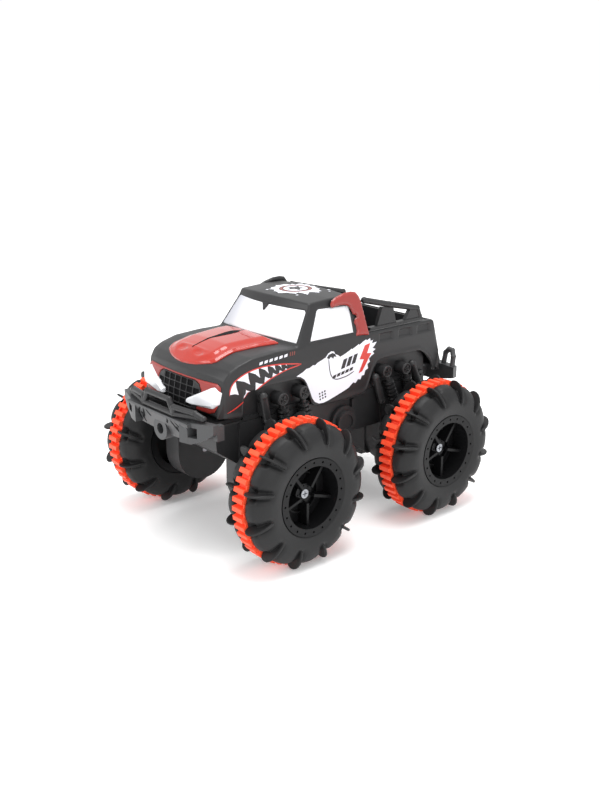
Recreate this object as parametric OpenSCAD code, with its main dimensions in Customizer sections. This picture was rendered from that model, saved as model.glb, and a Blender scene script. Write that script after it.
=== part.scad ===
// Radio-controlled 4WD stunt truck, about 22 cm long, with paddle wheels and a
// sealed hull. Millimetres. +X is forward, +Y is the truck's left, +Z is up.
// The origin is on the ground, midway between the axles.
// The suspension is moulded and fixed. Each wheel has its own geared motor.

/* [Wheels] */
// distance between the front and rear axles
wheelbase = 124; // [110:1:140]
// axle height above the ground, equal to the tread band's tip radius
axle_z = 47; // [40:0.5:52]
// number of teeth on the tread band
band_teeth = 48; // [40:2:60]
// tread band width
band_w = 9.2; // [6:0.2:12]
// distance from the truck's centre plane to a wheel's centre plane
wheel_y = 71; // [68:0.5:76]
// number of paddles on each half of a tyre
paddles = 12; // [8:1:16]
// paddle tip radius
paddle_r = 48.4; // [46:0.1:48.6]
// tyre half-width at its widest
tyre_half_w = 17.6; // [15:0.2:19]
// rim flange radius
rim_r = 25.2; // [22:0.2:28]
// radius of the deep dish in the rim
dish_r = 20.2; // [17:0.2:21]

/* [Drive] */
// axle radius
axle_r = 2; // [1.5:0.1:2.5]
// gear module
gear_m = 1; // [0.8:0.1:1.2]
// teeth on the wheel gear
wheel_gear_n = 36; // [30:6:36]
// teeth on the motor pinion
pinion_n = 12; // [12:6:18]
// radial running clearance of shafts
run = 0.05; // [0.02:0.01:0.1]

/* [Hull] */
// half-width of the hull over the legs
hull_y = 42; // [38:1:44]
// inner face of each leg
leg_in = 27; // [24:1:30]
// hull wall thickness
wall = 1.8; // [1.2:0.1:2.5]
// height of the belly above the ground
belly_z = 60.5; // [58:0.5:64]
// height of the seam between the tub and the upper hull
seam_z = 88; // [84:1:90]
// radius of the rounded foot of each leg
foot_r = 21.5; // [20:0.5:23]

/* [Body] */
// body shell thickness
skin = 2; // [1.2:0.1:3]
// roof height
roof_z = 154.5; // [148:0.5:158]
// height of the belt line and the bed rails
belt_z = 128; // [122:0.5:132]
// half-width of the body at the doors
body_y = 43; // [40:0.5:45]

/* [Bumpers] */
// distance from the origin to the foremost and rearmost points
reach = 112; // [105:0.5:115]
// radius of the bull bar tubes
tube_r = 1.9; // [1.5:0.1:2.5]
// radius of the tow eye's hole
tow_hole_r = 3.5; // [3:0.1:4.5]

/* [Hidden] */
$fn = 64;
ax = wheelbase / 2;
band_r = axle_z;
pitch_w = wheel_gear_n * gear_m / 2;
pitch_p = pinion_n * gear_m / 2;
motor_z = axle_z + pitch_w + pitch_p;
black = [0.10, 0.10, 0.105];
hull_black = [0.08, 0.08, 0.085];
grey = [0.22, 0.22, 0.23];
orange = [0.95, 0.22, 0.08];
red = [0.78, 0.13, 0.07];
dull_red = [0.72, 0.20, 0.17];
white = [0.93, 0.94, 0.96];
steel = [0.75, 0.76, 0.78];
nylon = [0.90, 0.90, 0.86];
sides = [-1, 1];

// ---------------------------------------------------------------- helpers

// A loft through sections of equal point count, each a convex ring of 3D points.
module loft(secs) {
    n = len(secs[0]);
    m = len(secs);
    pts = [for (s = secs) for (p = s) p];
    faces_a = [for (i = [0:m - 2]) for (j = [0:n - 1])
        [i * n + j, i * n + (j + 1) % n, (i + 1) * n + (j + 1) % n]];
    faces_b = [for (i = [0:m - 2]) for (j = [0:n - 1])
        [i * n + j, (i + 1) * n + (j + 1) % n, (i + 1) * n + j]];
    cap_a = [[for (j = [n - 1:-1:0]) j]];
    cap_b = [[for (j = [0:n - 1]) (m - 1) * n + j]];
    polyhedron(points = pts, faces = concat(faces_a, faces_b, cap_a, cap_b));
}

// Extrude a drawing in X and Z along Y, from y0 to y1.
module xz(y0, y1) {
    translate([0, y1, 0]) rotate([90, 0, 0]) linear_extrude(y1 - y0) children();
}

// Extrude a drawing in Y and Z along X, from x0 to x1.
module yz(x0, x1) {
    translate([x0, 0, 0]) rotate([90, 0, 90]) linear_extrude(x1 - x0) children();
}

// A cylinder along Y, from y0 to y1, at (x, z).
module rod_y(x, z, r, y0, y1) {
    translate([x, y1, z]) rotate([90, 0, 0]) cylinder(r = r, h = y1 - y0);
}

// A cylinder along X, from x0 to x1, at (y, z).
module rod_x(y, z, r, x0, x1) {
    translate([x0, y, z]) rotate([0, 90, 0]) cylinder(r = r, h = x1 - x0);
}

// A straight tube between two points with round ends.
module bar(a, b, r) {
    d = b - a;
    len_d = norm(d);
    translate(a) rotate([0, acos(d[2] / len_d), atan2(d[1], d[0])]) cylinder(r = r, h = len_d);
    translate(a) sphere(r = r + 0.2);
    translate(b) sphere(r = r + 0.2);
}

// A bent tube through a list of points.
module path(pts, r) {
    for (i = [0:len(pts) - 2]) bar(pts[i], pts[i + 1], r);
}

// The part and its mirror image on the right side.
module both() {
    children();
    mirror([0, 1, 0]) children();
}

// Move a wheel drawn along +Z to its corner: fx is 1 for front, sy is 1 for left.
module corner(fx, sy) {
    mirror([0, sy > 0 ? 0 : 1, 0]) translate([fx * ax, 0, axle_z]) rotate([-90, 0, 0]) children();
}

// A spur gear with straight-flanked teeth, thinned for backlash.
function gear_pts(n, m, turn) = let (r = n * m / 2) [
    for (i = [0:n - 1]) for (k = [
        [-0.98, -1.2], [-0.62, 0], [-0.32, 0.8], [0.32, 0.8], [0.62, 0], [0.98, -1.2]
    ]) let (a = turn + i * 360 / n, x = r + k[1] * m, y = k[0] * m)
        [x * cos(a) - y * sin(a), x * sin(a) + y * cos(a)]
];

// ---------------------------------------------------------------- wheels

module tread_band(fx, sy) {
    n = band_teeth;
    tip = 1.75;
    root_r = band_r - 3.8;
    tip_r = band_r / cos(tip);
    pts = [for (i = [0:n - 1]) for (k = [[-2.5, root_r], [-tip, tip_r], [tip, tip_r], [2.5, root_r]])
        let (a = 90 + i * 360 / n + k[0]) [k[1] * cos(a), k[1] * sin(a)]];
    color(orange) corner(fx, sy) translate([0, 0, wheel_y - band_w / 2]) difference() {
        union() {
            linear_extrude(band_w) polygon(pts);
            translate([0, 0, band_w - 1]) cylinder(r = band_r - 2, h = 1);
        }
        translate([0, 0, -1]) cylinder(r = band_r - 5.6, h = band_w + 2);
    }
}

// Half of the tyre's outline as radius and distance from the wheel's centre plane.
tyre_out = [[43.6, 4.8], [45, 5.4], [45, 8], [44, 11], [42, 13.6], [38.5, 16.2], [34, 17.6],
    [30, 17.2], [27.4, 16]];
tyre_in = [[25.6, 14.6], [30, 15.4], [34, 15.6], [37.6, 14.4], [40.6, 12], [42, 9.6],
    [42.8, 7.4], [41.4, 5.6], [39.6, 5.6]];

module tyre(fx, sy) {
    up = concat([[41.4, 0], [41.4, 4.8]], tyre_out, [[25.4, 16]], [[25.4, 14.6]], tyre_in, [[39.6, 0]]);
    down = [for (i = [len(up) - 1:-1:0]) [up[i][0], -up[i][1]]];
    ring = concat(up, [for (i = [1:len(down) - 2]) down[i]]);
    paddle = [[41, 5.4], [47.4, 5.4], [paddle_r, 7.4], [paddle_r, 10], [46.6, 13], [43.6, 15.8],
        [39, 18], [34.6, 18.1], [33.6, 17], [38.4, 15.2], [41.6, 12.4]];
    color(hull_black) corner(fx, sy) translate([0, 0, wheel_y]) {
        rotate_extrude() polygon(ring);
        for (i = [0:paddles - 1]) rotate([0, 0, 90 + (i + 0.5) * 360 / paddles]) {
            rotate([90, 0, 0]) translate([0, 0, -0.9]) linear_extrude(1.8) polygon(paddle);
            mirror([0, 0, 1]) rotate([90, 0, 0]) translate([0, 0, -0.9]) linear_extrude(1.8)
                polygon(paddle);
        }
    }
}

module rim(fx, sy) {
    prof = [[dish_r, 2], [dish_r, 16], [rim_r, 16.4], [rim_r, 15], [24, 14.4], [22, 13], [22, -13],
        [24, -14.4], [rim_r, -15], [rim_r, -16.4], [dish_r, -16], [dish_r, -0.4], [axle_r, -0.4],
        [axle_r, 2]];
    color(hull_black) corner(fx, sy) translate([0, 0, wheel_y]) difference() {
        union() {
            rotate_extrude() polygon(prof);
            translate([0, 0, -5]) cylinder(r = 5, h = 6);
            translate([0, 0, 1]) cylinder(r = 6.4, h = 5.4);
            translate([0, 0, 1]) difference() {
                cylinder(r = 13.6, h = 3.2);
                translate([0, 0, -1]) cylinder(r = 12.6, h = 6);
            }
            for (i = [0:4]) rotate([0, 0, 90 + i * 72]) translate([5.5, -0.9, 1]) cube([15.6, 1.8, 9.5]);
        }
        for (i = [0:19]) rotate([0, 0, i * 18]) translate([22.8, 0, 15.2]) cylinder(r = 0.75, h = 3);
        for (i = [0:7]) rotate([0, 0, i * 45]) translate([4.9, 0, 5.6]) cylinder(r = 0.5, h = 2);
        translate([0, 0, -6]) cylinder(r = axle_r, h = 14);
        translate([0, 0, 5.9]) cylinder(r = 3.4, h = 3);
    }
}

module wheel_screw(fx, sy) {
    color(steel) corner(fx, sy) difference() {
        union() {
            translate([0, 0, wheel_y + 5.9]) cylinder(r = 2.9, h = 1.8);
            translate([0, 0, wheel_y - 2]) cylinder(r = 1.2, h = 8);
        }
        translate([-1.8, -0.35, wheel_y + 6.8]) cube([3.6, 0.7, 2]);
        translate([-0.35, -1.8, wheel_y + 6.8]) cube([0.7, 3.6, 2]);
    }
}

module axle(fx, sy) {
    color(steel) corner(fx, sy) difference() {
        translate([0, 0, leg_in - 0.6]) cylinder(r = axle_r, h = wheel_y + 5.9 - leg_in + 0.6);
        translate([0, 0, wheel_y - 2]) cylinder(r = 1.2, h = 10);
    }
}

module wheel_gear(fx, sy) {
    color(nylon) corner(fx, sy) difference() {
        union() {
            translate([0, 0, 32.5]) linear_extrude(5) polygon(gear_pts(wheel_gear_n, gear_m, 90));
            translate([0, 0, leg_in + wall + 0.4]) cylinder(r = 4, h = 11);
        }
        translate([0, 0, 20]) cylinder(r = axle_r, h = 30);
        for (i = [0:5]) rotate([0, 0, i * 60]) translate([10.5, 0, 30]) cylinder(r = 3, h = 10);
    }
}

module pinion(fx, sy) {
    color(nylon) mirror([0, sy > 0 ? 0 : 1, 0]) translate([fx * ax, 0, motor_z])
        rotate([-90, 0, 0]) difference() {
            translate([0, 0, 32]) linear_extrude(6) polygon(gear_pts(pinion_n, gear_m, 15));
            translate([0, 0, 30]) cylinder(r = 1 + run, h = 10);
        }
}

// Small flat-sided motor with its shaft pointing out through the leg cover.
module motor(fx, sy) {
    color(steel) mirror([0, sy > 0 ? 0 : 1, 0]) translate([fx * ax, 0, motor_z])
        rotate([-90, 0, 0]) {
            intersection() {
                translate([0, 0, 2]) cylinder(r = 10, h = 23);
                translate([-15, -7.6, 0]) cube([30, 15.2, 40]);
            }
            translate([0, 0, 24]) cylinder(r = 3, h = 2);
            translate([0, 0, 25]) cylinder(r = 1, h = 14);
        }
}

// ---------------------------------------------------------------- hull

// One leg seen from the side, round foot below and square shoulders above.
module leg_2d(grow) {
    circle(r = foot_r + grow);
    translate([-foot_r - grow, 0]) square([2 * (foot_r + grow), belly_z - axle_z + 1]);
}

module tub_2d() {
    polygon([[-84, seam_z], [-86, 80], [-83.5, belly_z], [83.5, belly_z], [100, 72.5], [100.5, 82],
        [103.4, 84], [103.4, seam_z]]);
}

module tub_cavity_2d() {
    polygon([[-82, seam_z + 1], [-83.6, 80], [-81.6, belly_z + 2], [82.6, belly_z + 2],
        [98.2, 74.2], [98.6, 83.4], [101.4, 85], [101.4, seam_z + 1]]);
}

module hull_tub() {
    color(hull_black) difference() {
        union() {
            xz(-hull_y + 2, hull_y - 2) tub_2d();
            translate([-84, -40.8, seam_z - 3]) cube([168, 81.6, 3]);
            for (fx = sides) both() translate([fx * ax, 0, axle_z]) xz(leg_in, hull_y) leg_2d(0);
            for (fx = sides) both() translate([fx * ax - foot_r, hull_y - 3, belly_z])
                cube([2 * foot_r, 3, seam_z - belly_z]);
            for (fx = sides) both() rod_y(fx * ax, axle_z, 6, hull_y - 1, hull_y + 5);
            both() rod_y(-4.5, 70, 11, hull_y - 3, hull_y + 1);
            xz(-leg_in + 0.2, leg_in - 0.2)
                polygon([[-40, belly_z + 1], [-40, 36], [-43, 33], [-81, 33], [-84.5, 37], [-84.5, belly_z + 1]]);
            for (x = [-14, 24]) both() translate([x, hull_y - 3, 64]) cube([2, 3.6, 20]);
        }
        xz(-hull_y + 2 + wall, hull_y - 2 - wall) tub_cavity_2d();
        for (fx = sides) both() translate([fx * ax, 0, axle_z]) xz(leg_in - 1, hull_y - wall) leg_2d(-wall);
        for (fx = sides) both() translate([fx * ax - foot_r + wall, leg_in, belly_z - 1])
            cube([2 * foot_r - 2 * wall, hull_y - wall - leg_in, 26]);
        for (fx = sides) both() rod_y(fx * ax, axle_z, axle_r + run, 20, 60);
        xz(-leg_in + 2, leg_in - 2) polygon([[-42, belly_z + 3], [-42, 30], [-82.5, 30], [-82.5, belly_z + 3]]);
        translate([-82.5 - 3, -leg_in + 4, 31]) cube([6, 2 * leg_in - 8, 1]);
        both() rod_y(-4.5, 70, 8, hull_y - 1, hull_y + 3);
        both() rod_y(-4.5, 70, 3, 30, hull_y + 3);
        translate([4, -1.9, belly_z - 1]) cube([9.4, 3.8, 4]);
    }
}

module leg_covers() {
    color(hull_black) for (fx = sides) both() difference() {
        union() {
            translate([fx * ax, 0, axle_z]) xz(leg_in, leg_in + wall) leg_2d(-wall);
            translate([fx * ax - foot_r + wall, leg_in, belly_z - 1])
                cube([2 * foot_r - 2 * wall, wall, 24]);
        }
        rod_y(fx * ax, axle_z, axle_r + run, 20, 40);
        rod_y(fx * ax, motor_z, 3, 20, 40);
    }
}

module upper_hull() {
    color(hull_black) difference() {
        union() {
            xz(-38.8, 38.8) polygon([[-86, seam_z + 1], [-86, 100], [-82, 107], [80, 107], [86, 100], [87, seam_z + 1]]);
            translate([-84, -40.8, seam_z + 1]) cube([164, 81.6, 2.2]);
            translate([80, -38.6, seam_z + 1]) cube([21, 77.2, 2.2]);
        }
        xz(-37, 37) polygon([[-84, seam_z], [-84, 99], [-81, 105.2], [79, 105.2], [84, 99.4], [85, seam_z]]);
    }
}

module hull_seal() {
    color(grey) translate([0, 0, seam_z]) linear_extrude(1) difference() {
        translate([-83, -40]) square([184, 80]);
        translate([-81.4, -38.2]) square([180.8, 76.4]);
    }
}

module battery_pack() {
    color([0.15, 0.35, 0.65]) for (i = [-1, 0, 1]) rod_y(-61.5 + i * 13, 45, 6.4, -22, 22);
}

module battery_door() {
    color(hull_black) difference() {
        union() {
            translate([-82.3, -leg_in + 2.2, 33]) cube([40.1, 2 * leg_in - 4.4, 1.8]);
            translate([-84.4, -leg_in + 5.4, 31.1]) cube([42.2, 2 * leg_in - 10.8, 1.9]);
        }
        for (y = [-16, 16]) translate([-46, y, 30]) cylinder(r = 1.1, h = 8);
        for (y = [-16, 16]) translate([-46, y, 30]) cylinder(r = 2.6, h = 2.9);
    }
}

module door_screws() {
    color(steel) for (y = [-16, 16]) difference() {
        union() {
            translate([-46, y, 31.4]) cylinder(r = 2.4, h = 1.5);
            translate([-46, y, 32]) cylinder(r = 1.1, h = 5);
        }
        translate([-48, y - 0.35, 31]) cube([4, 0.7, 1.1]);
    }
}

module circuit_board() {
    color([0.05, 0.35, 0.18]) {
        translate([-20, -16, 66]) cube([46, 32, 1.6]);
        translate([-14, -10, 67.6]) cube([12, 12, 2]);
        translate([14, -6, 67.6]) cube([6, 10, 4]);
        for (x = [-17, 22]) for (y = [-13, 13]) translate([x, y, belly_z + 2]) cylinder(r = 1.5, h = 66 - belly_z - 2);
    }
}

module power_switch() {
    color(steel) difference() {
        translate([2, -4, belly_z + 2]) cube([13.4, 8, 2.9]);
        translate([3.6, -2.6, belly_z + 1]) cube([10.2, 5.2, 2.8]);
    }
}

module switch_knob() {
    color(black) {
        translate([4.3, -1.6, belly_z - 1.3]) cube([4.4, 3.2, 3.6]);
        translate([3.9, -2.3, belly_z + 2.2]) cube([5.4, 4.6, 1.2]);
    }
}

module side_plugs() {
    color(grey) both() difference() {
        union() {
            rod_y(-4.5, 70, 7.9, hull_y - 1, hull_y + 3.6);
            rod_y(-4.5, 70, 2.9, 38.4, hull_y);
        }
        rod_y(-4.5, 70, 5.6, hull_y + 2.4, hull_y + 5);
    }
}

// ---------------------------------------------------------------- body

// One row per station: x, which way the wall faces, plan bow, centre height, edge height,
// edge half-width, belt height, belt half-width, side half-width, lower edge height.
stations = [
    [97.6, -1, 5, 113.4, 113.2, 30, 111, 37.5, 38.5, 92],
    [97.2, -1, 4.8, 119, 118, 31, 116.8, 38.5, 39.5, 92],
    [92, -1, 3.6, 123, 122, 33, 121.8, 41.4, 41.6, 91],
    [86, 0, 3, 125.6, 124.8, 35, 124.3, 42, 42.2, 90],
    [75, 0, 2, 128, 127.8, 37, 127.2, 42, 42.6, 88],
    [56, 0, 2, 129.2, 129, 38, 128.2, 42, body_y, 86],
    [42, -1, 6, 129.6, 129, 38, belt_z, 42, body_y, 86],
    [27, -1, 6, 150.6, 149.7, 35, belt_z, 42, body_y, 86],
    [25, -1, 6, roof_z, roof_z - 1, 34.6, belt_z, 42, body_y, 86],
    [-15, 1, 0, roof_z + 0.8, roof_z - 0.2, 34.6, belt_z, 42, body_y, 86],
    [-19, 1, 0, roof_z - 3, roof_z - 4, 35, belt_z, 42, body_y, 86],
    [-21, 1, 0, belt_z + 0.6, belt_z + 0.4, 38, belt_z, 42, body_y, 86],
    [-91.5, 1, 0, belt_z, belt_z, 38, belt_z - 0.5, 42, body_y, 86],
    [-98.4, 1, 0, 105, 104.8, 38, 104.2, 42, body_y, 88]
];

function body_sec(s, w, low) = let (
    half = [[s[8] - w, low ? 70 : s[9]], [s[8] - w, s[6] - 9], [s[7] - w, s[6] - w * 0.6],
        [s[5] - w, s[4] - w], [s[5] * 0.5, (s[3] + s[4]) / 2 + 0.2 - w]],
    ring = concat(half, [[0, s[3] - w + 0.2]], [for (i = [4:-1:0]) [-half[i][0], half[i][1]]])
) [for (p = ring) [s[0] + s[1] * w - s[2] * pow(p[0] / 40, 2), p[0], p[1]]];

module body_form(w, low) {
    loft([for (s = stations) body_sec(s, w, low)]);
}

module arches() {
    xz(-50, 50) polygon([[81.5, 80], [81.6, 104], [77.6, 107.6], [38.6, 108.3], [31, 104.2],
        [27.5, 95.4], [25.7, 90.2], [21.3, 80]]);
    xz(-50, 50) polygon([[-24, 80], [-26.3, 91.5], [-34.5, 107.1], [-69.3, 108.1], [-77.6, 107.4],
        [-88.7, 98], [-91.2, 91.5], [-92, 80]]);
}

module windscreen_2d() {
    polygon([[-37, 131.4], [37, 131.4], [32.4, 148.4], [-32.4, 148.4]]);
}

module side_window_2d() {
    polygon([[25.5, 129.8], [16.6, 149], [-11.8, 149], [-11.8, 129.8]]);
}

module rear_window_2d() {
    polygon([[-28, 132], [28, 132], [26, 148], [-26, 148]]);
}

module body_shell() {
    color(black) difference() {
        body_form(0, false);
        body_form(skin, true);
        arches();
        yz(22, 60) windscreen_2d();
        xz(-60, 60) side_window_2d();
        yz(-30, -10) rear_window_2d();
        translate([-88.6, -38, 108]) cube([65.6, 76, 40]);
        for (x = [-50.4, -69.4, -88.1]) both() translate([x, body_y - 0.9, 120.5]) cube([13.6, 4, 5.4]);
        yz(90, 110) polygon([[-34, 96], [34, 96], [32, 112], [-32, 112]]);
    }
}

module pane(w) {
    intersection() {
        difference() {
            body_form(0, false);
            body_form(w, true);
        }
        children();
    }
}

module windscreen() {
    color(white) pane(1.4) yz(24, 60) windscreen_2d();
}

module side_windows() {
    color(white) pane(1.4) union() {
        xz(33, 60) side_window_2d();
        xz(-60, -33) side_window_2d();
    }
}

module rear_window() {
    color(black) pane(1.4) yz(-30, -14) rear_window_2d();
}

// Raised bonnet panel with a crowned centre and a slit along its middle.
scoop_rows = [[40.5, 132.6, 131.6, 28.6, 129.4], [50, 134.2, 132, 29, 129.6], [64, 133.6, 131, 27, 129],
    [78, 131, 129, 24.6, 127], [88, 127.6, 126, 22.4, 124.6], [94.6, 121.8, 121, 19, 120.2]];

module hood_scoop() {
    function row(s) = [for (p = [[-s[3], s[4] - 3], [-s[3], s[4]], [-s[3] + 4, s[2]], [0, s[1]],
        [s[3] - 4, s[2]], [s[3], s[4]], [s[3], s[4] - 3]])
        [s[0] - 3 * pow(p[0] / 29, 2), -p[0], p[1]]];
    color(red) difference() {
        loft([for (i = [len(scoop_rows) - 1:-1:0]) row(scoop_rows[i])]);
        body_form(0, false);
        translate([0, 0, 133.2]) linear_extrude(6)
            polygon([[45, 3], [45, -3], [56, -3.4], [66, -2], [86, -0.6], [86, 0.6], [66, 2], [56, 3.4]]);
        translate([0, 0, 130]) linear_extrude(6) polygon([[66, 1.6], [66, -1.6], [84, -0.6], [84, 0.6]]);
    }
}

// A plate bowed in plan, from x0 to x1 on the centre line.
module bowed(x0, x1, bow, y_max) {
    ys = [for (i = [-5:5]) i * y_max / 5];
    translate([0, 0, 60]) linear_extrude(80) polygon(concat(
        [for (y = ys) [x1 - bow * pow(y / 40, 2), y]],
        [for (i = [len(ys) - 1:-1:0]) [x0 - bow * pow(ys[i] / 40, 2), ys[i]]]
    ));
}

module surround_2d() {
    polygon([[-30, 94], [30, 94], [38, 98], [39, 112], [32, 115], [-32, 115], [-39, 112], [-38, 98]]);
}

module mesh_2d() {
    polygon([[-13, 97], [13, 97], [19, 99.4], [17.4, 108], [14, 111], [-14, 111], [-17.4, 108], [-19, 99.4]]);
}

module lamp_2d() {
    polygon([[21, 99.6], [23.4, 97.8], [34.2, 100.4], [38.2, 103.6], [38.4, 109.4], [35.2, 112.6], [26.2, 110.2]]);
}

module grille_surround() {
    color(red) intersection() {
        bowed(97.7, 100.4, 5, 41);
        yz(80, 110) difference() {
            surround_2d();
            mesh_2d();
            lamp_2d();
            mirror([1, 0]) lamp_2d();
        }
    }
}

module grille_mesh() {
    color(black) intersection() {
        bowed(97, 99.2, 5, 40);
        yz(80, 110) difference() {
            mesh_2d();
            for (i = [-5:5]) for (k = [0:4])
                translate([i * 3.5 + (k % 2) * 1.75, 98.2 + k * 2.9]) rotate(30) circle(r = 1.45, $fn = 6);
        }
    }
}

module headlight(sy) {
    color(white) intersection() {
        bowed(98, 103.4, 5, 40);
        yz(80, 110) mirror([sy > 0 ? 0 : 1, 0]) lamp_2d();
    }
}

module hoop_trims() {
    color(dull_red) difference() {
        both() translate([0, 41.6, 127]) rotate([9, 0, 0]) translate([0, 0, -127]) xz(-2.4, 1.6)
            polygon([[2.5, 149.4], [4.3, 152.8], [-12.6, 157.6], [-19, 156.8], [-22, 151.5], [-28.4, 127.4],
                [-16, 127.2], [-13.2, 131], [-18.6, 138], [-16.6, 141.8], [-14.8, 140], [-13.7, 149.8]]);
        body_form(0, false);
    }
}

module bed_rails() {
    color(black) both() {
        path([[-26.4, 37.4, 149.6], [-50, 37.8, 143.6], [-78, 38, 137], [-80.6, 38, 131]], 2.1, $fn = 24);
        xz(36.4, 39.4) polygon([[-64.4, 128.7], [-71, 139.4], [-78.3, 136], [-80.9, 128.7]]);
        xz(36.4, 39.4) polygon([[-36.8, 128.7], [-42.3, 143], [-53, 141], [-56.5, 128.7]]);
        translate([-82.4, 36, 128.5]) cube([52, 4, 1.9]);
    }
}

module bed_tray() {
    color(black) difference() {
        translate([-88.6, -38, 108.2]) cube([65.6, 76, 19]);
        translate([-87, -36.4, 110.4]) cube([62.4, 72.8, 20]);
        for (i = [-4:4]) translate([-86, i * 8 - 1, 109.6]) cube([60, 2, 2]);
    }
}

// ---------------------------------------------------------------- bumpers

module front_bumper() {
    color(grey) difference() {
        union() {
            intersection() {
                xz(-34, 34) polygon([[106.5, 77], [110.4, 77], [117, 91.4], [117, 93], [112.5, 93], [112.5, 91]]);
                yz(100, 118) polygon([[-34, 79.5], [-12, 77.6], [12, 77.6], [34, 79.5], [34, 92.6], [-34, 92.6]]);
            }
            both() intersection() {
                translate([0, 0, 60]) linear_extrude(50) polygon([[117, 25], [115.6, 31], [109.4, 50],
                    [105.4, 50], [106.5, 33], [106.5, 25]]);
                yz(90, 118) polygon([[25, 79.4], [34, 79.5], [44, 84], [50, 88.5], [50, 94.2], [25, 92.6]]);
            }
            for (y = [-24, 20]) translate([100.55, y, 77.8]) cube([7.4, 4, 4]);
            rod_x(0, 81, 7.4, 106.4, 114.5);
            both() translate([101.2, 46, 83.6]) cube([5.4, 4, 9.6]);
        }
        rod_x(0, 81, tow_hole_r, 100, 118);
        both() translate([100, 31.6, 83.8]) cube([20, 6.8, 6.6]);
        both() path([[117.2, 15.4, 90.6], [115.8, 17, 87.8], [114.6, 19.6, 85.8], [113.2, 21, 83.4],
            [111.8, 20.4, 80.6]], 0.8);
        both() path([[117, 19.6, 90.4], [115.4, 23, 87.2], [113.6, 24, 83.4]], 0.7);
        both() bar([116.8, 11.6, 90.4], [115.6, 9.4, 87.6], 0.7);
    }
}

module bull_bar() {
    top = 117 - tube_r - 0.2;
    color(black) {
        path([[114.6, -16.6, 94.8], [top, -12, 103.2], [top, 12, 103.2], [114.6, 16.6, 94.8]], tube_r);
        both() path([[114.6, 16.6, 94.8], [top, 16.8, 99.4], [111.4, 34.2, 98.6], [109.2, 40, 96]], tube_r);
        both() bar([114.6, 16.6, 94.8], [109.2, 40, 96], tube_r);
        bar([114.6, -16.6, 94.8], [114.6, 16.6, 94.8], tube_r);
    }
}

module rear_bumper() {
    color(grey) {
        intersection() {
            translate([0, 0, 60]) linear_extrude(60) polygon([[-reach, -34], [-reach, 34], [-108, 52], [-102, 54],
                [-104, 40], [-106.6, 30], [-106.6, -30], [-104, -40], [-102, -54], [-108, -52]]);
            yz(-113, -90) polygon([[-30, 78], [30, 78], [54, 84], [54, 92], [-54, 92], [-54, 84]]);
        }
        for (y = [-24, 18]) translate([-108, y, 80]) cube([21.98, 6, 7]);
        both() path([[-107, 40, 91], [-108, 41, 100], [-108, 44, 103], [-107, 48, 103], [-106, 50, 99],
            [-105, 50, 90]], 1.9);
    }
}

// Moulded coil-over pair with its ring eye, spring and reservoir.
module shock(top, foot) {
    d = foot - top;
    n = 6;
    rod_y(top[0], top[2], 4.4, 38.9, top[1] + 2.2);
    bar(top, foot, 1.9);
    for (i = [1:n]) translate(top + d * (0.22 + 0.74 * i / n)) rotate([0, acos(d[2] / norm(d)), atan2(d[1], d[0])])
        translate([0, 0, -0.8]) cylinder(r = 3.7, h = 1.6);
}

module shocks(sy) {
    color(hull_black) mirror([0, sy > 0 ? 0 : 1, 0]) difference() {
        union() {
            shock([52.8, 45, 98.4], [48.6, 46.2, 76]);
            shock([35.2, 45, 99.4], [33, 46.2, 76]);
            shock([-40.5, 45, 99.2], [-50, 46.2, 76]);
            shock([-59.5, 45, 97.9], [-66.4, 46.2, 76]);
            bar([66.5, 44, 102.5], [63.5, 44, 86.8], 2.8);
            bar([-32.2, 44, 96.1], [-38.6, 44, 78.7], 2.6);
            bar([-68.6, 44, 99.1], [-74.5, 44, 86.2], 2.8);
            translate([62, 40, 90.2]) cube([6, 4, 8]);
            translate([-36.5, 40, 90.2]) cube([6, 4, 5]);
            translate([-73.5, 40, 90.2]) cube([6, 4, 5]);
        }
        translate([-100, 36, seam_z - 6]) cube([200, hull_y - 36 + 0.02, 9.22]);
        translate([-100, 30, 60]) cube([200, hull_y - 30 + 0.02, seam_z - 60]);
        translate([-100, 30, 60]) cube([200, 8.82, 60]);
        for (p = [[52.8, 98.4], [35.2, 99.4], [-40.5, 99.2], [-59.5, 97.9]])
            rod_y(p[0], p[1], 2, 45.4, 50);
    }
}

// ---------------------------------------------------------------- output

// Everything is drawn from the middle between the axles, then moved to the middle of the whole length.
module centred() {
    translate([(reach - 117) / 2, 0, 0]) children();
}

centred() hull_tub();
centred() upper_hull();
centred() hull_seal();
centred() leg_covers();
centred() battery_pack();
centred() battery_door();
centred() door_screws();
centred() circuit_board();
centred() power_switch();
centred() switch_knob();
centred() side_plugs();
centred() motor(1, 1);  // motor_front_left
centred() motor(1, -1);  // motor_front_right
centred() motor(-1, 1);  // motor_rear_left
centred() motor(-1, -1);  // motor_rear_right
centred() pinion(1, 1);  // pinion_front_left
centred() pinion(1, -1);  // pinion_front_right
centred() pinion(-1, 1);  // pinion_rear_left
centred() pinion(-1, -1);  // pinion_rear_right
centred() axle(1, 1);  // axle_front_left
centred() axle(1, -1);  // axle_front_right
centred() axle(-1, 1);  // axle_rear_left
centred() axle(-1, -1);  // axle_rear_right
centred() wheel_gear(1, 1);  // gear_front_left
centred() wheel_gear(1, -1);  // gear_front_right
centred() wheel_gear(-1, 1);  // gear_rear_left
centred() wheel_gear(-1, -1);  // gear_rear_right
centred() rim(1, 1);  // rim_front_left
centred() rim(1, -1);  // rim_front_right
centred() rim(-1, 1);  // rim_rear_left
centred() rim(-1, -1);  // rim_rear_right
centred() tyre(1, 1);  // tyre_front_left
centred() tyre(1, -1);  // tyre_front_right
centred() tyre(-1, 1);  // tyre_rear_left
centred() tyre(-1, -1);  // tyre_rear_right
centred() tread_band(1, 1);  // band_front_left
centred() tread_band(1, -1);  // band_front_right
centred() tread_band(-1, 1);  // band_rear_left
centred() tread_band(-1, -1);  // band_rear_right
centred() wheel_screw(1, 1);  // screw_front_left
centred() wheel_screw(1, -1);  // screw_front_right
centred() wheel_screw(-1, 1);  // screw_rear_left
centred() wheel_screw(-1, -1);  // screw_rear_right
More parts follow.
